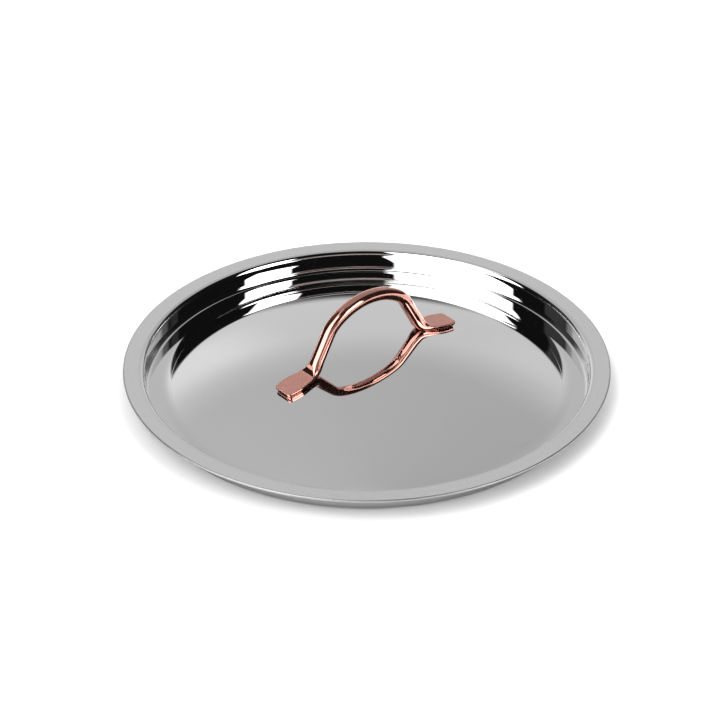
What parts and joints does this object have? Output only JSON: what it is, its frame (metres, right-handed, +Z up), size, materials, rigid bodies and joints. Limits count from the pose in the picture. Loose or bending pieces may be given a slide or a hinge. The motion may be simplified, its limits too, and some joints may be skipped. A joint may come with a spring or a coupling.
{
  "type": "saucepan lid",
  "caption": "Round pressed-steel saucepan lid with a flat rim, a sunk channel, a low dome and a cast bronze arch handle.",
  "frame": {"origin": "on the lid's axis, in the plane of the table that the lid stands on, at the underside of its channel", "axes": "+Z up along the lid's axis, out of the dome; +X along the handle"},
  "size_m": [0.216, 0.216, 0.0481],
  "materials": {
    "polished_steel": "mirror polished, with a satin rim",
    "polished_bronze": "polished pink bronze, with satin feet",
    "washer_steel": "tumbled"
  },
  "bodies": {
    "root": {"lid_shell": "polished_steel", "handle": "polished_bronze", "washer_left": "washer_steel", "washer_right": "washer_steel"}
  },
  "joints": []
}
